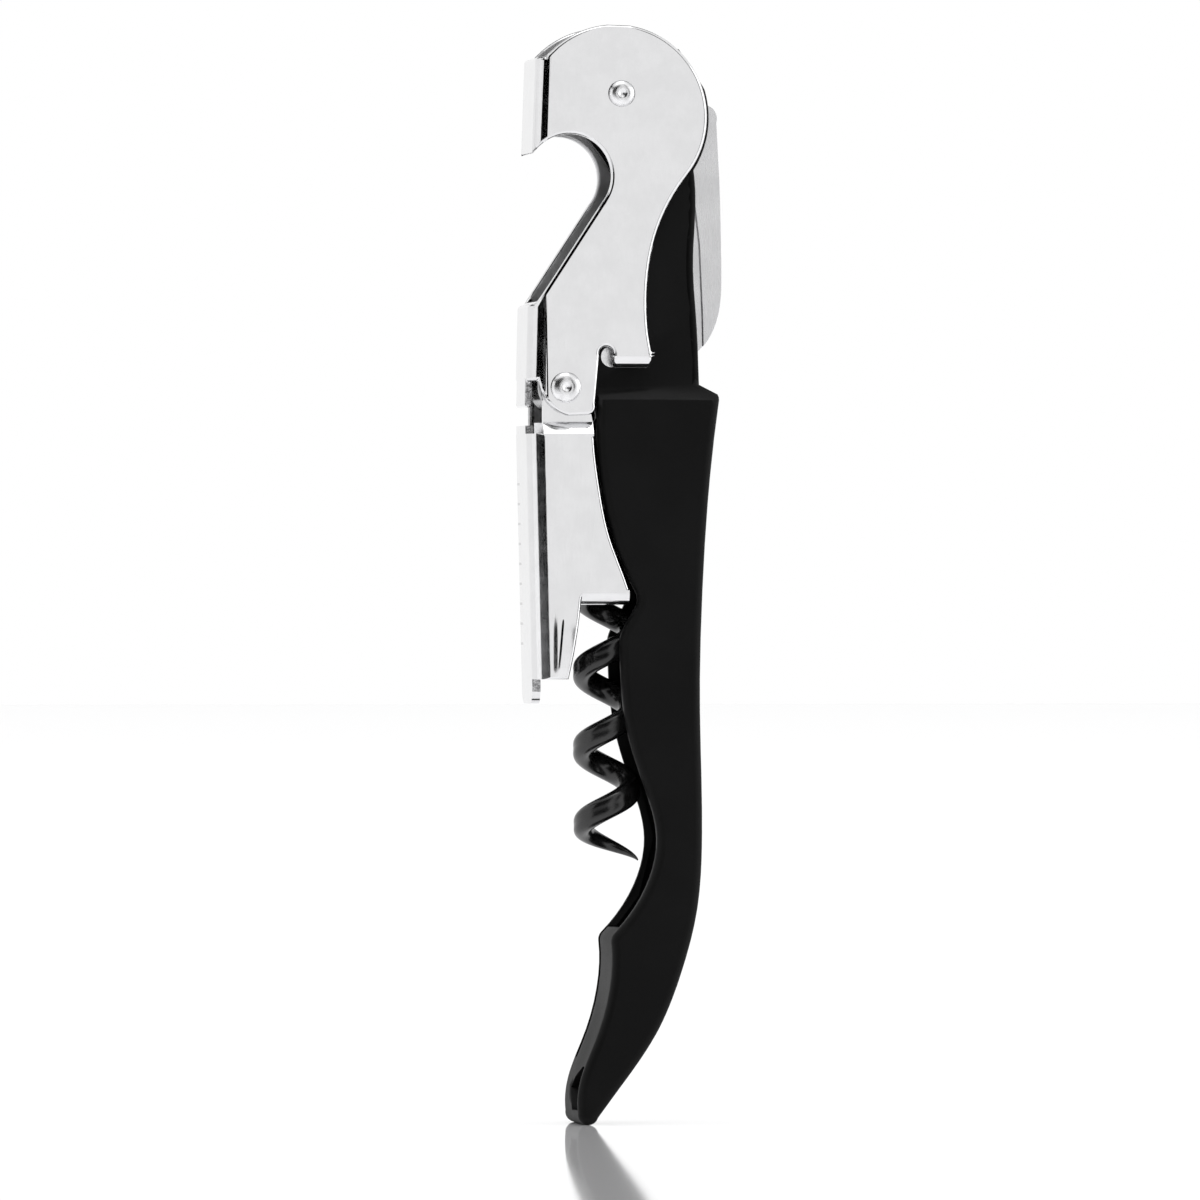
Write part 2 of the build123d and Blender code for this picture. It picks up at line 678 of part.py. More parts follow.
def main():
    os.makedirs("parts", exist_ok=True)
    nodes = build_nodes()
    boxes = [solid.bounding_box() for solid in nodes.values()]
    low_x = min(box.min.X for box in boxes)
    high_x = max(box.max.X for box in boxes)
    low_z = min(box.min.Z for box in boxes)
    shift = Pos(-(low_x + high_x) / 2, 0, -low_z)
    for name, solid in nodes.items():
        export_step(shift * solid, f"parts/{name}.step")
    print("moved by", -(low_x + high_x) / 2, -low_z)


main()
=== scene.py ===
# %% [markdown]
# # A folding lever corkscrew
# The tool is two bright lever arms, a soft black handle, a black wire worm and a small knife.
# The mechanical frame gives every piece its true size and place. This file adds what the eye
# judges: rounded sheet edges, a grooved and pointed worm, a coiled spring and the finishes.

# %% The frame
import json
from math import cos, radians, sin, tau

import bmesh
import bpy
from mathutils import Matrix, Vector


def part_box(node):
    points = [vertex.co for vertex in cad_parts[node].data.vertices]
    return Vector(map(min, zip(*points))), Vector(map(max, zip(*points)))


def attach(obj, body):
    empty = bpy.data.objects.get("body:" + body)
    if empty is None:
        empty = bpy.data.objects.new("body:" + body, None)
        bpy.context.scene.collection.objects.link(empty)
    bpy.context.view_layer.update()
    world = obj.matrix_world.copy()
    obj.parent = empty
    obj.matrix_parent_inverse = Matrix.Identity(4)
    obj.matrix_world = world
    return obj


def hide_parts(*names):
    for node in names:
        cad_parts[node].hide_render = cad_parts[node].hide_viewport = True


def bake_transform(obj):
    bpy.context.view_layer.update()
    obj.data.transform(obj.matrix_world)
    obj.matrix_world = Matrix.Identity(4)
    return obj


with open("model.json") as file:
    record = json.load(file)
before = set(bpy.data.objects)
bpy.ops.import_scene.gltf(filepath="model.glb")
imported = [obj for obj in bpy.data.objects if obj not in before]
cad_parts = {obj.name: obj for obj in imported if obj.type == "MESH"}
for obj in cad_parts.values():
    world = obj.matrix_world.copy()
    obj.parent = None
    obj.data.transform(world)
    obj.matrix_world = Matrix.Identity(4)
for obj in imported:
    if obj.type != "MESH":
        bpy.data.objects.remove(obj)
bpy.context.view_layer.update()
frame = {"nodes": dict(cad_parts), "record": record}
MM = 0.001
BODY_OF = {node: body for body, nodes in frame["record"]["behaviour"]["bodies"].items()
           for node in nodes}
SLOT_OF = {part["node"]: part["material_slot"] for part in frame["record"]["subparts"]}


# %% [markdown]
# ## Writing shader maths as sums
# A finish is a small formula over the surface. `Sock` wraps one socket and turns `+`, `-`, `*`
# and `/` into Math nodes, so a formula reads like arithmetic. Every other node comes from
# `Finish.node`, which takes its type, its settings and what feeds its sockets.

# %% Socket arithmetic
class Sock:
    """One shader socket that can be used in a Python expression."""

    def __init__(self, finish, socket):
        self.finish = finish
        self.socket = socket

    def math(self, operation, *values):
        return self.finish.node("ShaderNodeMath", {"operation": operation},
                                dict(enumerate((self,) + values)))

    def __add__(self, other):
        return self.math("ADD", other)

    def __sub__(self, other):
        return self.math("SUBTRACT", other)

    def __mul__(self, other):
        return self.math("MULTIPLY", other)

    def __truediv__(self, other):
        return self.math("DIVIDE", other)


class Finish:
    """A material with a Principled shader and helpers that add nodes to it."""

    def __init__(self, name, **constants):
        self.material = bpy.data.materials.new(name)
        self.material.use_nodes = True
        self.tree = self.material.node_tree
        self.shader = self.tree.nodes["Principled BSDF"]
        for socket, value in constants.items():
            self.shader.inputs[socket.replace("_", " ")].default_value = value

    def node(self, kind, settings=None, inputs=None, output=0):
        made = self.tree.nodes.new(kind)
        for key, value in (settings or {}).items():
            setattr(made, key, value)
        for key, value in (inputs or {}).items():
            if isinstance(value, Sock):
                self.tree.links.new(value.socket, made.inputs[key])
            else:
                made.inputs[key].default_value = value
        return Sock(self, made.outputs[output])

    def feed(self, socket, value):
        self.tree.links.new(value.socket, self.shader.inputs[socket])

    def place(self, scale=(1, 1, 1)):
        """Object coordinates, stretched."""
        where = self.node("ShaderNodeTexCoord", output="Object")
        return self.node("ShaderNodeMapping", {}, {"Vector": where, "Scale": scale})

    def noise(self, where, scale, detail=3.0, rough=0.5):
        return self.node("ShaderNodeTexNoise", {},
                         {"Vector": where, "Scale": scale, "Detail": detail,
                          "Roughness": rough})

    def fit(self, value, low, high, to_low=0.0, to_high=1.0):
        """The value moved from one range to another and kept inside it."""
        return self.node("ShaderNodeMapRange",
                         {"clamp": True, "interpolation_type": "SMOOTHSTEP"},
                         {"Value": value, "From Min": low, "From Max": high,
                          "To Min": to_low, "To Max": to_high})

    def mix(self, factor, first, second):
        """A colour between two colours."""
        return self.node("ShaderNodeMix", {"data_type": "RGBA"},
                         {"Factor": factor, "A": first, "B": second}, output="Result")

    def bump(self, height, depth, before=None):
        inputs = {"Height": height, "Distance": depth}
        if before:
            inputs["Normal"] = before
        return self.node("ShaderNodeBump", {}, inputs)


def grey(value):
    return (value, value, value * 1.01, 1.0)


# %% [markdown]
# ## The finishes
# The handle has a rubbery soft coat: nearly black, dull, with a grain finer than a tenth of a
# millimetre. The lever arms are bright plate over pressed sheet. Plate is never perfectly
# flat, so a slow wave bends its reflections and faint polishing lines cross it.

# %% Soft black coat
def soft_coat():
    coat = Finish("soft_black_coat", Specular_IOR_Level=0.15, IOR=1.45)
    where = coat.place()
    grain = coat.noise(where, 5200.0, 2.0)
    cloud = coat.noise(where, 90.0, 4.0)
    rubbed = coat.node("ShaderNodeNewGeometry", output="Pointiness")
    edge = coat.fit(rubbed, 0.52, 0.62)
    tone = coat.mix(coat.fit(cloud, 0.35, 0.7), grey(0.0022), grey(0.0040))
    coat.feed("Base Color", coat.mix(edge * 0.6, tone, grey(0.022)))
    coat.feed("Roughness", coat.fit(cloud * 0.6 + grain * 0.4, 0.3, 0.7, 0.50, 0.62))
    coat.feed("Normal", coat.bump(grain, 0.000006, coat.bump(cloud, 0.00001)))
    return coat.material


def painted_shade_coat():
    """The same coat, made darker: painted shade for the neck's curled back edge, which lies in
    shadow.
    """
    coat = Finish("painted_shade_black_coat", Specular_IOR_Level=0.05)
    cloud = coat.noise(coat.place(), 600.0, 3.0)
    # A darker base colour than the soft coat: painted shade on the curled edge.
    coat.feed("Base Color", coat.mix(cloud, grey(0.0008), grey(0.0016)))
    coat.feed("Roughness", coat.fit(cloud, 0.3, 0.7, 0.35, 0.5))
    coat.feed("Normal", coat.bump(cloud, 0.000004))
    return coat.material


# %% Bright plate
def bright_plate(name, ruled=False):
    plate = Finish(name, Metallic=1.0)
    where = plate.place()
    slow = plate.noise(where, 160.0, 2.0)
    polish = plate.noise(plate.place(scale=(1, 1, 0.06)), 9000.0, 3.0)
    cloud = plate.noise(where, 420.0, 5.0, 0.6)
    tone = plate.mix(plate.fit(cloud, 0.3, 0.75), grey(0.74), grey(0.79))
    if ruled:
        tone = plate.mix(ruler_marks(plate) * 0.5, tone, grey(0.16))
    plate.feed("Base Color", tone)
    plate.feed("Roughness", plate.fit(cloud * 0.5 + polish * 0.5, 0.3, 0.7, 0.07, 0.15))
    normal = plate.bump(slow, 0.00003, plate.bump(polish, 0.0000010))
    if ruled:
        normal = plate.bump(foot_crease(plate), 0.00008, normal)
    plate.feed("Normal", normal)
    return plate.material


def foot_crease(plate):
    """The cheeks are pinched near the lower arm's foot: a wide ramp and one short fold."""
    lo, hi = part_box("lower_lever_arm")
    x, y, z = split_place(plate)
    across = (x - lo.x) * 1000.0
    up = (z - lo.z) * 1000.0
    lean = across - up * 0.085
    pinch = plate.fit(across, 2.7, 3.45) * plate.fit(up, 2.6, 4.0)
    pinch = pinch * plate.fit(up, 7.0, 13.0, 1.0, 0.0)
    fold = plate.fit(lean, 3.0, 3.28) * plate.fit(up, 3.0, 6.0) * plate.fit(up, 8.0, 9.8, 1.0, 0.0)
    release = plate.fit(across, 4.3, 6.3, 1.0, 0.0)
    return (pinch * 0.8 + fold) * release


# %% [markdown]
# ### Ruler marks
# Short etched ticks run down one side of the lower arm's spine. They are flat colour, so they
# are a mask in the finish: near each whole step of height, on the spine's outer face only.

# %% Ruler marks
TICK_STEP = 0.0022
TICK_WIDTH = 0.00028
TICK_START_Y, TICK_END_Y = 0.0021, 0.0043


def band(finish, value, low, high):
    """1 where the value lies between low and high, else 0."""
    above = finish.node("ShaderNodeMath", {"operation": "GREATER_THAN"}, {0: value, 1: low})
    below = finish.node("ShaderNodeMath", {"operation": "LESS_THAN"}, {0: value, 1: high})
    return above * below


def split_place(finish):
    where = finish.node("ShaderNodeTexCoord", output="Object")
    split = finish.node("ShaderNodeSeparateXYZ", {}, {0: where})
    return [Sock(finish, out) for out in split.socket.node.outputs]


def ruler_marks(finish):
    x, y, z = split_place(finish)
    lo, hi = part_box("lower_lever_arm")
    step = (z / TICK_STEP).math("FRACT")
    tick = band(finish, step, 0.0, TICK_WIDTH / TICK_STEP)
    across = band(finish, y, TICK_START_Y, TICK_END_Y)
    outer = band(finish, x, lo.x - MM, lo.x + 0.9 * MM)
    height = band(finish, z, lo.z + 5 * MM, lo.z + 26 * MM)
    return tick * across * outer * height


# %% [markdown]
# ## The other metals and the worm's coat
# The worm has a slick black coat that shines in two narrow lines. The knife is ground along
# its length. Small turned parts share one plain steel with rings left by the lathe.

# %% Worm coat, knife steel, small parts
def worm_coat():
    coat = Finish("gloss_black_coat", Specular_IOR_Level=0.6, Coat_Roughness=0.1)
    where = coat.place()
    cloud = coat.noise(where, 700.0, 4.0)
    orange = coat.noise(where, 2600.0, 1.0)
    coat.feed("Base Color", coat.mix(coat.fit(cloud, 0.4, 0.7), grey(0.004), grey(0.009)))
    coat.feed("Roughness", coat.fit(cloud, 0.3, 0.7, 0.20, 0.27))
    coat.feed("Normal", coat.bump(orange, 0.0000012))
    return coat.material


def ground_steel():
    steel = Finish("ground_stainless", Metallic=1.0)
    lines = steel.noise(steel.place(scale=(1, 1, 0.03)), 12000.0, 4.0)
    cloud = steel.noise(steel.place(), 260.0, 3.0)
    steel.feed("Base Color", steel.mix(steel.fit(lines, 0.3, 0.7), grey(0.64), grey(0.76)))
    steel.feed("Roughness", steel.fit(cloud * 0.4 + lines * 0.6, 0.3, 0.7, 0.22, 0.36))
    steel.feed("Normal", steel.bump(lines, 0.000002))
    return steel.material


def turned_steel(name, tone, shine):
    steel = Finish(name, Metallic=1.0)
    cloud = steel.noise(steel.place(), 900.0, 4.0)
    rings = steel.noise(steel.place(scale=(1, 12, 1)), 1500.0, 2.0)
    steel.feed("Base Color", steel.mix(steel.fit(cloud, 0.3, 0.7), grey(tone * 0.9),
                                       grey(tone * 1.08)))
    steel.feed("Roughness", steel.fit(cloud * 0.5 + rings * 0.5, 0.3, 0.7,
                                      shine, shine + 0.12))
    steel.feed("Normal", steel.bump(rings, 0.000003))
    return steel.material


def punched_edge():
    """The torn side of punched sheet: plated over, but coarse."""
    edge = Finish("punched_edge", Metallic=1.0)
    tear = edge.noise(edge.place(scale=(1, 1, 1.6)), 2600.0, 4.0, 0.7)
    edge.feed("Base Color", edge.mix(edge.fit(tear, 0.35, 0.65), grey(0.22), grey(0.62)))
    edge.feed("Roughness", edge.fit(tear, 0.3, 0.7, 0.35, 0.22))
    edge.feed("Normal", edge.bump(tear, 0.00012))
    return edge.material


def inner_plate():
    """The sheet's inner side: plated too, but never polished."""
    plate = Finish("inner_plate", Metallic=1.0)
    cloud = plate.noise(plate.place(), 500.0, 4.0)
    plate.feed("Base Color", plate.mix(plate.fit(cloud, 0.3, 0.7), grey(0.50), grey(0.62)))
    plate.feed("Roughness", plate.fit(cloud, 0.3, 0.7, 0.40, 0.52))
    plate.feed("Normal", plate.bump(cloud, 0.00001))
    return plate.material


FINISHES = {
    "soft_black": soft_coat(),
    # painted shade: the darker coat for the neck's curled back edge
    "painted_shade_black": painted_shade_coat(),
    "bright_plate": bright_plate("bright_plate"),
    "ruled_plate": bright_plate("ruled_plate", ruled=True),
    "gloss_black": worm_coat(),
    "stainless": ground_steel(),
    "punched_edge": punched_edge(),
    "inner_plate": inner_plate(),
    "bright_pin": turned_steel("bright_pin", 0.82, 0.20),
    "dark_steel": turned_steel("dark_steel", 0.42, 0.28),
    "spring_steel": turned_steel("spring_steel", 0.48, 0.22),
}
print("finishes", list(FINISHES))


# %% [markdown]
# ## Dressing the frame's pieces
# Every piece of the frame takes its finish first. The copies that are made from them below
# carry it along. The lower arm gets the plate with the ruler marks.

# %% Finishes for the frame's pieces
def dress(piece, finish):
    piece.data.materials.clear()
    piece.data.materials.append(finish)


for node, piece in frame["nodes"].items():
    dress(piece, FINISHES[SLOT_OF[node]])
dress(frame["nodes"]["lower_lever_arm"], FINISHES["ruled_plate"])
print("dressed", len(frame["nodes"]))


# %% [markdown]
# ## Rounded sheet edges
# Pressed and plated sheet has soft edges that catch a bright line of light. The sheet pieces
# are copied from the frame and their triangles welded into clean faces. A narrow bevel rolls
# the sharp edges of the upper arm and the knife. The arms' inner sides are left unpolished.

# %% Softened sheet pieces
WELD_GAP = 0.002 * MM
CHEEK_FACE = 6.0 * MM
BEND_TOP = Vector((-11.123, 0, 76.93)) * MM
BEND_FOOT = Vector((-10.393, 0, 46.33)) * MM
BEND_RADIUS = 2.0 * MM
BEND_SLACK = 0.03 * MM
BROAD_FACE = 4e-6               # square metres, larger than any strip of a bend
NECK_EDGE = 6.4 * MM
NECK_FOOT = 82 * MM


def welded(node):
    """A copy of one frame piece as clean, welded faces."""
    mesh = frame["nodes"][node].data.copy()
    mesh.name = node + "_finished"
    bm = bmesh.new()
    bm.from_mesh(mesh)
    bmesh.ops.remove_doubles(bm, verts=bm.verts, dist=WELD_GAP)
    bmesh.ops.dissolve_limit(bm, angle_limit=radians(0.3), verts=bm.verts, edges=bm.edges)
    bmesh.ops.recalc_face_normals(bm, faces=bm.faces)
    bm.to_mesh(mesh)
    bm.free()
    return mesh


def round_the_bend(mesh):
    """True normals for the lower arm's long bends, so a reflection runs down them unbroken."""
    down = (BEND_FOOT - BEND_TOP).normalized()
    inward = Vector((-down.z, 0, down.x))
    normals = [corner.vector.copy() for corner in mesh.corner_normals]
    mended = 0
    for face in mesh.polygons:
        flat = face.normal.copy()
        side = -1 if flat.y < 0 else 1
        if face.area > BROAD_FACE or abs(flat.y) > 0.9999:
            for loop in face.loop_indices:
                normals[loop] = flat
            continue
        axis = BEND_TOP + inward * BEND_RADIUS
        axis = axis + Vector((0, side * (CHEEK_FACE - BEND_RADIUS), 0))
        spokes = []
        for vertex in face.vertices:
            arm = mesh.vertices[vertex].co - axis
            spokes.append(arm - down * arm.dot(down))
        if all(abs(spoke.length - BEND_RADIUS) < BEND_SLACK for spoke in spokes):
            for loop, spoke in zip(face.loop_indices, spokes):
                normals[loop] = spoke.normalized()
            mended += 1
    mesh.normals_split_custom_set([tuple(normal) for normal in normals])
    print("bend faces with true normals", mended)


def finished(node, width=0.0, segments=3, sharp=30.0):
    """The welded copy, with rolled edges where a width is given, standing in for the frame's
    piece.
    """
    mesh = welded(node)
    mesh.set_sharp_from_angle(angle=radians(sharp))
    mesh.polygons.foreach_set("use_smooth", [True] * len(mesh.polygons))
    piece = bpy.data.objects.new(node + "_finished", mesh)
    bpy.context.scene.collection.objects.link(piece)
    if width:
        bevel = piece.modifiers.new("rolled edge", "BEVEL")
        bevel.width = width
        bevel.segments = segments
        bevel.limit_method = "ANGLE"
        bevel.angle_limit = radians(sharp)
        bevel.use_clamp_overlap = False
        bevel.harden_normals = True
    if node == "lower_lever_arm":
        round_the_bend(mesh)
    else:
        even = piece.modifiers.new("even shading", "WEIGHTED_NORMAL")
        even.mode = "FACE_AREA"
        even.weight = 100
        even.keep_sharp = True
    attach(piece, BODY_OF[node])
    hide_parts(node)
    print(node, "finished", len(mesh.polygons))
    return piece


def coarse_sides(piece, half):
    """The tongue's punched sides take the coarse finish."""
    piece.data.materials.append(FINISHES["punched_edge"])
    changed = 0
    for face in piece.data.polygons:
        if abs(face.normal.y) > 0.95 and abs(abs(face.center.y) - half) < 0.1 * MM:
            face.material_index = 1
            changed += 1
    print(piece.name, "punched faces", changed)


def dull_inside(piece):
    """The inner side of both cheeks takes the unpolished finish."""
    piece.data.materials.append(FINISHES["inner_plate"])
    number = len(piece.data.materials) - 1
    changed = 0
    for face in piece.data.polygons:
        if face.center.y * face.normal.y < 0 and abs(face.normal.y) > 0.95:
            if face.material_index == 0:
                face.material_index = number
                changed += 1
    print(piece.name, "inner faces", changed)


def paint_shade_on_curled_edge(piece):
    """The neck's rounded back edge takes the darker coat, which is painted shade."""
    piece.data.materials.append(FINISHES["painted_shade_black"])
    changed = 0
    for face in piece.data.polygons:
        place = face.center
        if place.x > NECK_EDGE and place.z > NECK_FOOT and face.normal.x > 0.12:
            face.material_index = 1
            changed += 1
    print(piece.name, "curled faces", changed)


EDGE_WIDTHS = {"upper_lever_arm": 0.38 * MM, "knife_blade": 0.06 * MM}
OWN_SHAPES = ("worm", "hinge_torsion_spring", "head_rivet", "hinge_rivet")
PIECES = {node: finished(node, EDGE_WIDTHS.get(node, 0.0))
          for node in frame["nodes"] if node not in OWN_SHAPES}
# Painted shade: the neck's curled back edge gets the darker coat.
paint_shade_on_curled_edge(PIECES["handle_shell"])
coarse_sides(PIECES["upper_lever_arm"], 3.7 * MM)
coarse_sides(PIECES["lower_lever_arm"], 3.7 * MM)
coarse_sides(PIECES["lower_lever_arm"], 4.3 * MM)
dull_inside(PIECES["upper_lever_arm"])
dull_inside(PIECES["lower_lever_arm"])


# %% [markdown]
# ## The worm
# The worm is wire with a shallow groove, wound right-handed and ground to a point. Its centre
# line is a formula: the radius grows out of the straight shank, stays level, and swings out to
# the rim at the point. A ring of points follows that line and its neighbours are skinned.

# %% Worm
def across(points, index, outward):
    """Two directions across the line at one of its points, the first one outward."""
    before = points[max(index - 1, 0)]
    after = points[min(index + 1, len(points) - 1)]
    along = (after - before).normalized()
    outward = (outward - along * outward.dot(along)).normalized()
    return outward, along.cross(outward)


def skinned(name, rings, slot, body, node):
    """One closed skin over rings of equal length, capped at both ends."""
    mesh = bpy.data.meshes.new(name)
    bm = bmesh.new()
    rows = [[bm.verts.new(point) for point in ring] for ring in rings]
    count = len(rows[0])
    for low, high in zip(rows, rows[1:]):
        for i in range(count):
            j = (i + 1) % count
            bm.faces.new((low[i], low[j], high[j], high[i]))
    bm.faces.new(rows[0])
    bm.faces.new(rows[-1])
    bmesh.ops.recalc_face_normals(bm, faces=bm.faces)
    for face in bm.faces:
        face.smooth = True
    bm.to_mesh(mesh)
    bm.free()
    mesh.set_sharp_from_angle(angle=radians(50))
    piece = bpy.data.objects.new(name, mesh)
    bpy.context.scene.collection.objects.link(piece)
    mesh.materials.append(FINISHES[slot])
    if body:
        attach(piece, body)
    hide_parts(node)
    print(name, "faces", len(mesh.polygons))
    return piece


def coil_rings():
    lo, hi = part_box("worm")
    pin_lo, pin_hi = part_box("worm_pin")
    pivot_x = (pin_lo.x + pin_hi.x) / 2
    wire = WORM_WIRE / 2 - 0.02 * MM
    full = (WORM_DIAMETER - WORM_WIRE) / 2
    tip_z = lo.z + 0.1 * MM
    lift = 0.35 * MM
    turns = (WORM_TOP - (tip_z - lift)) / WORM_PITCH
    steps = int(turns * 56)
    points, sizes, outwards = [], [], []
    for i in range(steps + 1):
        turn = turns * i / steps
        blend = min(turn / 0.6, 1.0)
        ground = max(0.0, 1 - (turns - turn) / 0.62)
        radius = full * blend * blend * (3 - 2 * blend) + ground ** 2 * 0.28 * WORM_WIRE
        angle = WORM_END_ANGLE + tau * (turns - turn)
        points.append(Vector((pivot_x + radius * cos(angle), radius * sin(angle),
                              WORM_TOP - WORM_PITCH * turn + ground ** 2 * lift)))
        sizes.append(wire * (1 - 0.93 * ground ** 1.5))
        outwards.append(Vector((cos(angle), sin(angle), 0)))
    rings = []
    for i, point in enumerate(points):
        outward, up = across(points, i, outwards[i])
        turn = turns * i / steps
        depth = 0.24 * min(max((turn - 0.5) / 0.6, 0), 1)
        ring = []
        for k in range(40):
            around = tau * k / 40
            groove = depth * pow(max(cos(around), 0.0), 5)
            size = sizes[i] * (1 - groove)
            ring.append(point + outward * (size * cos(around)) + up * (size * sin(around)))
        rings.append(ring)
    return rings


WORM_DIAMETER = 8.07 * MM
WORM_WIRE = 2.7 * MM
WORM_PITCH = 8.5 * MM
WORM_TOP = 78.63 * MM
WORM_END_ANGLE = 0.0
skinned("worm_coil", coil_rings(), "gloss_black", "worm", "worm")


# %% [markdown]
# Above the coil the wire runs straight into a flat eye that turns on the pin. The eye is a
# ring spun from a rounded profile, so its bore is open.

# %% Shank and eye
def spun(name, profile, centre, axis, slot, body, nodes, steps=64):
    """A profile of (radius, height) points spun round an axis along Y or Z."""
    mesh = bpy.data.meshes.new(name)
    bm = bmesh.new()
    verts = [bm.verts.new((radius, 0, height)) for radius, height in profile]
    edges = [bm.edges.new(pair) for pair in zip(verts, verts[1:])]
    bmesh.ops.spin(bm, geom=verts + edges, cent=(0, 0, 0), axis=(0, 0, 1), angle=tau,
                   steps=steps, use_merge=True, use_duplicate=False)
    bmesh.ops.remove_doubles(bm, verts=bm.verts, dist=0.0000005)
    if axis == "Y":
        bmesh.ops.rotate(bm, verts=bm.verts, cent=(0, 0, 0),
                         matrix=Matrix.Rotation(radians(90), 3, "X"))
    bmesh.ops.translate(bm, verts=bm.verts, vec=centre)
    bmesh.ops.recalc_face_normals(bm, faces=bm.faces)
    for face in bm.faces:
        face.smooth = True
    bm.to_mesh(mesh)
    bm.free()
    mesh.set_sharp_from_angle(angle=radians(40))
    piece = bpy.data.objects.new(name, mesh)
    bpy.context.scene.collection.objects.link(piece)
    mesh.materials.append(FINISHES[slot])
    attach(piece, body)
    if nodes:
        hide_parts(*nodes)
    print(name, "faces", len(mesh.polygons))
    return piece


def centre_of(node):
    lo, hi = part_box(node)
    return (lo + hi) / 2


pin = centre_of("worm_pin")
EYE_OUTER, EYE_BORE, EYE_HALF = 2.8 * MM, 1.2 * MM, 1.4 * MM
spun("worm_eye", [(EYE_BORE, -EYE_HALF), (EYE_OUTER - 0.3 * MM, -EYE_HALF),
                  (EYE_OUTER, -EYE_HALF + 0.3 * MM), (EYE_OUTER, EYE_HALF - 0.3 * MM),
                  (EYE_OUTER - 0.3 * MM, EYE_HALF), (EYE_BORE, EYE_HALF),
                  (EYE_BORE, -EYE_HALF)], pin, "Y", "gloss_black", "worm", None)
shank_top = pin.z - EYE_BORE - 0.2 * MM
spun("worm_shank", [(0, -0.3 * MM), (WORM_WIRE / 2 - 0.01 * MM, -0.3 * MM),
                    (WORM_WIRE / 2 - 0.01 * MM, shank_top - WORM_TOP), (0, shank_top - WORM_TOP)],
     Vector((pin.x, 0, WORM_TOP)), "Z", "gloss_black", "worm", None)


# %% [markdown]
# ## The rivets
# Each rivet is a plain shank with a low dome at both ends. The tool that closed it left a
# shallow round dimple, which catches a small ring of light and dark.

# %% Rivets
DIMPLE_RIM = 0.62 * MM
DOME_TURN = radians(86)
DOME_STEPS = 8


def rivet(node, shank, head, bearing, body):
    lo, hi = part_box(node)
    centre = (lo + hi) / 2
    rise = hi.y - bearing
    dome = [(0.0, rise - 0.24 * MM), (0.16 * MM, rise - 0.22 * MM),
            (0.34 * MM, rise - 0.10 * MM), (0.50 * MM, rise - 0.01 * MM),
            (DIMPLE_RIM, rise)]
    reach = head / 2
    for step in range(1, DOME_STEPS + 1):
        angle = DOME_TURN * step / DOME_STEPS
        dome.append((DIMPLE_RIM + (reach - DIMPLE_RIM) * sin(angle) / sin(DOME_TURN),
                     rise * (cos(angle) - cos(DOME_TURN)) / (1 - cos(DOME_TURN))))
    half = [(radius, bearing + height) for radius, height in dome]
    profile = half + [(shank / 2, bearing), (shank / 2, -bearing)]
    profile += [(radius, -height) for radius, height in reversed(half)]
    spun(node + "_domed", profile, centre, "Y", SLOT_OF[node], body, (node,))


rivet("head_rivet", 2.2 * MM, 2.9 * MM, CHEEK_FACE, BODY_OF["head_rivet"])
rivet("hinge_rivet", 2.4 * MM, 3.4 * MM, CHEEK_FACE, BODY_OF["hinge_rivet"])


# %% [markdown]
# ## The spring on the hinge
# A close coil sits on the hinge sleeve. One straight leg lies along the inside of the upper
# arm, the other along the lower arm. It is one wire.

# %% Torsion spring
SPRING_WIRE = 0.7 * MM
SPRING_TURNS = 6


def spring_rings():
    lo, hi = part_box("hinge_torsion_spring")
    hinge = centre_of("hinge_sleeve")
    radius = hinge.x - lo.x - SPRING_WIRE / 2
    half = (hi.y - lo.y - SPRING_WIRE) / 2
    reach = hi.z - hinge.z - 0.1 * MM
    left = Vector((-1, 0, 0))
    points = [hinge + Vector((-radius, -half, reach * share)) for share in (1, 0.7, 0.4, 0.1)]
    outwards = [left] * 4
    steps = SPRING_TURNS * 40
    for i in range(steps + 1):
        around = tau * SPRING_TURNS * i / steps
        outward = Vector((-cos(around), 0, -sin(around)))
        points.append(hinge + outward * radius + Vector((0, half * (2 * i / steps - 1), 0)))
        outwards.append(outward)
    points += [hinge + Vector((-radius, half, -reach * share)) for share in (0.1, 0.4, 0.7, 1)]
    outwards += [left] * 4
    wire = SPRING_WIRE / 2 - 0.01 * MM
    rings = []
    for i, point in enumerate(points):
        outward, up = across(points, i, outwards[i])
        rings.append([point + (outward * cos(tau * k / 16) + up * sin(tau * k / 16)) * wire
                      for k in range(16)])
    return rings, hinge, half


rings, hinge, half = spring_rings()
spring = skinned("hinge_spring_wire", rings, "spring_steel", None, "hinge_torsion_spring")
hinge - Vector((0, half * 0.9, 0))
hinge + Vector((0, half * 0.9, 0))
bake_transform(spring)


# %% [markdown]
# ## Light and camera
# Bright plate shows its surroundings, so the surroundings are the picture: a white room that
# makes the cheeks pale, and a tall dark card at the camera's left that the folded edges pick
# up as one dark line. The floor is pale and glossy.

# %% Studio
scene = bpy.context.scene
scene.view_settings.view_transform = "Standard"
world = bpy.data.worlds.new("white_room")
scene.world = world
world.use_nodes = True
world.node_tree.nodes["Background"].inputs["Color"].default_value = (1, 1, 1, 1)
world.node_tree.nodes["Background"].inputs["Strength"].default_value = 1.0


def stage_mesh(name, build, finish):
    mesh = bpy.data.meshes.new(name)
    bm = bmesh.new()
    build(bm)
    bm.to_mesh(mesh)
    bm.free()
    piece = bpy.data.objects.new(name, mesh)
    scene.collection.objects.link(piece)
    mesh.materials.append(finish)
    return piece


def floor_paint():
    paint = Finish("floor_paint", Specular_IOR_Level=0.5)
    cloud = paint.noise(paint.place(), 0.4, 1.0)
    paint.feed("Base Color", paint.mix(cloud, grey(0.957), grey(0.96)))
    paint.feed("Roughness", paint.fit(cloud, 0.3, 0.7, 0.054, 0.056))
    return paint.material


FLOOR_SIZE = 6.0
floor = stage_mesh("floor", lambda bm: bmesh.ops.create_grid(
    bm, x_segments=1, y_segments=1, size=FLOOR_SIZE), floor_paint())


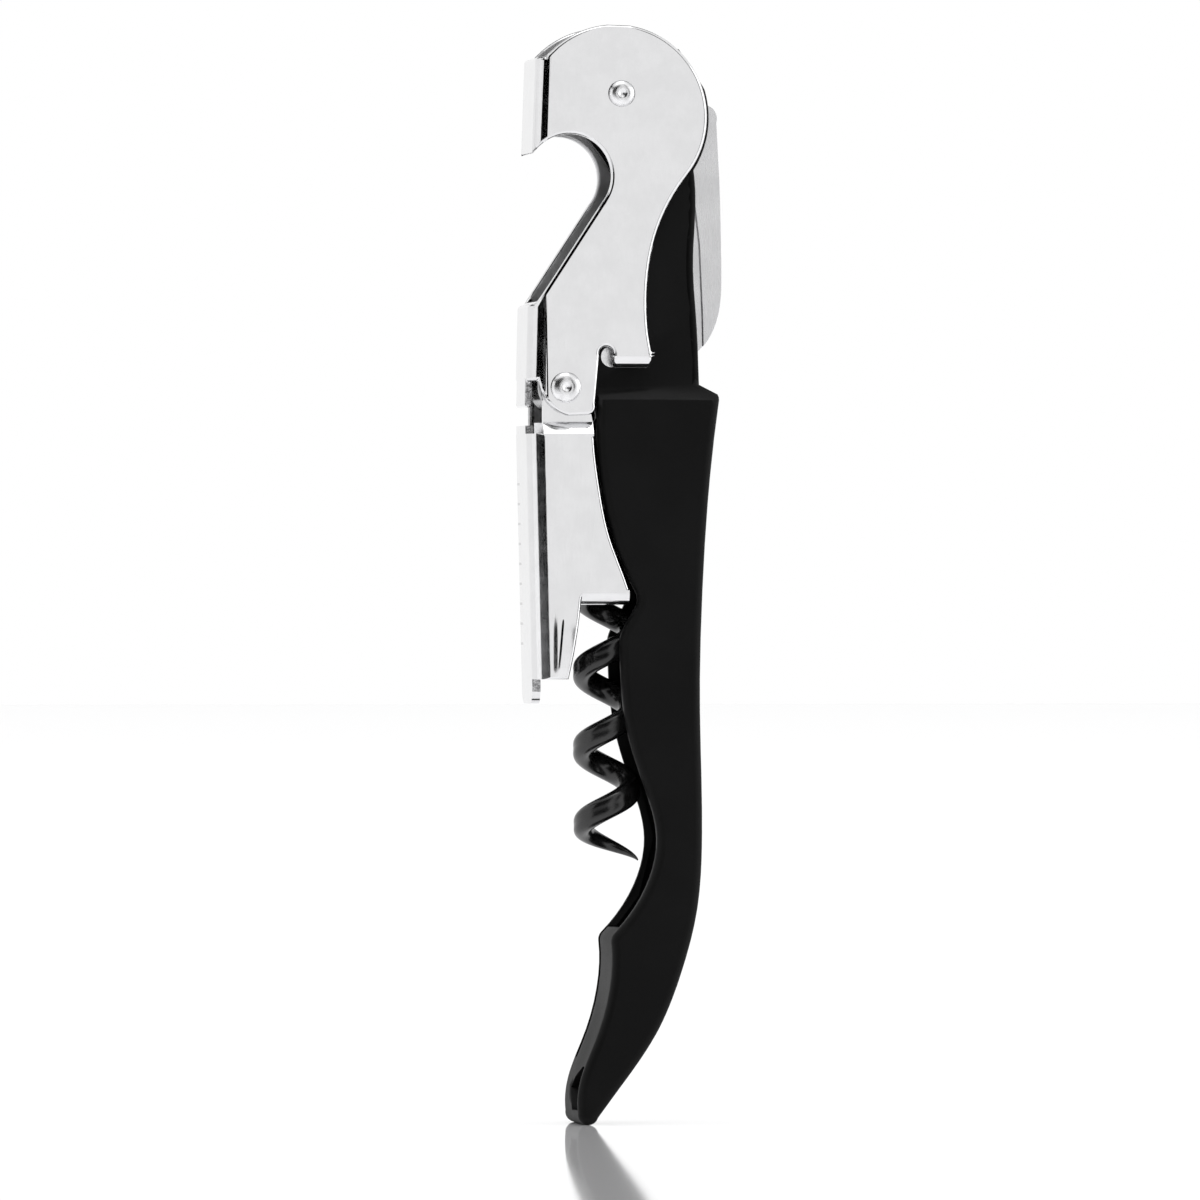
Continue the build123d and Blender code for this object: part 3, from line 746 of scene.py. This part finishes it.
def card(name, azimuth_from, azimuth_to, distance, low, high, tone):
    """A curved upright card round the object, seen only in reflections."""
    paint = Finish(name + "_paint", Roughness=0.9, Specular_IOR_Level=0.0)
    paint.shader.inputs["Base Color"].default_value = grey(tone)

    def build(bm):
        start = radians(azimuth_from)
        foot = bm.verts.new((sin(start) * distance, -cos(start) * distance, low))
        head = bm.verts.new((sin(start) * distance, -cos(start) * distance, high))
        edge = bm.edges.new((foot, head))
        bmesh.ops.spin(bm, geom=[foot, head, edge], cent=(0, 0, 0), axis=(0, 0, 1),
                       angle=radians(azimuth_to - azimuth_from), steps=12)

    piece = stage_mesh(name, build, paint.material)
    piece.visible_camera = False
    piece.visible_diffuse = False
    piece.visible_shadow = False
    return piece


card("dark_card_left", -93, -2, 2.6, -0.2, 2.4, 0.0)
card("grey_card_right", 19, 32, 2.6, -0.2, 2.4, 0.0)


def soft_light(name, azimuth, height, distance, width, tall, power):
    data = bpy.data.lights.new(name, "AREA")
    data.shape = "RECTANGLE"
    data.size, data.size_y, data.energy = width, tall, power
    light = bpy.data.objects.new(name, data)
    scene.collection.objects.link(light)
    spot = Vector((sin(radians(azimuth)) * distance, -cos(radians(azimuth)) * distance, height))
    light.location = spot
    light.rotation_euler = (spot - Vector((0, 0, 0.06))).to_track_quat("Z", "Y").to_euler()
    light.visible_camera = False
    return light


soft_light("left_softbox", -76, 0.25, 1.3, 0.8, 1.1, 2.9)
soft_light("right_softbox", 75, 0.25, 1.3, 0.7, 1.1, 3.6)
soft_light("top_softbox", -10, 1.5, 0.25, 0.9, 0.6, 3.0)


def roof_card():
    """A dark card above and behind, which draws a thin line round the top of the plate."""
    paint = Finish("roof_card_paint", Roughness=0.9, Specular_IOR_Level=0.0)
    paint.shader.inputs["Base Color"].default_value = grey(0.0)

    def build(bm):
        corners = [(-1.2, 1.9, 1.1), (1.2, 1.9, 1.1), (1.2, 0.9, 2.2), (-1.2, 0.9, 2.2)]
        bm.faces.new([bm.verts.new(corner) for corner in corners])

    piece = stage_mesh("roof_card", build, paint.material)
    piece.visible_camera = False
    piece.visible_diffuse = False
    piece.visible_shadow = False


roof_card()

VIEW_AZIMUTH = -8.0
CAMERA_DISTANCE = 1.5
SENSOR = 36.0
VIEW_SPAN = 132.4 * MM
aim = Vector((-2.30 * MM, 0, 57.75 * MM))
turn = radians(VIEW_AZIMUTH)
back = Vector((sin(turn), -cos(turn), 0))
camera_data = bpy.data.cameras.new("camera")
camera_data.sensor_width = SENSOR
camera_data.lens = SENSOR * CAMERA_DISTANCE / VIEW_SPAN
camera_data.clip_start = 0.05
camera = bpy.data.objects.new("camera", camera_data)
scene.collection.objects.link(camera)
camera.location = aim + back * CAMERA_DISTANCE
camera.rotation_euler = (-back).to_track_quat("-Z", "Y").to_euler()
scene.camera = camera
print("lens", round(camera_data.lens, 1))
